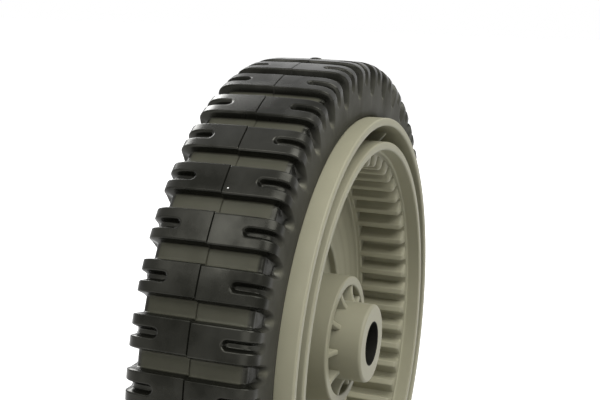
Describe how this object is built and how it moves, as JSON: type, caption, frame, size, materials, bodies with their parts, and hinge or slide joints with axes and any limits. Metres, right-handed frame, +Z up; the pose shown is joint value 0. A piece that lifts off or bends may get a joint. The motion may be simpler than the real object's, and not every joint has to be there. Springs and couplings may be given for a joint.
{
  "type": "lawn mower drive wheel",
  "caption": "Self-propelled mower wheel: grey moulded wheel with an internal ring gear, ribbed hub and plain axle bore, under a black bar-tread tyre.",
  "frame": {"origin": "on the axle, at the parting plane in the middle of the tyre's width", "axes": "+Y along the axle, from the gear side towards the outer side; +Z up, with the wheel standing on its tread"},
  "size_m": [0.2032, 0.0487, 0.2032],
  "materials": {
    "black_tyre": "satin",
    "grey_plastic": "satin"
  },
  "bodies": {
    "root": {"tyre": "black_tyre", "geared_wheel": "grey_plastic"}
  },
  "joints": []
}
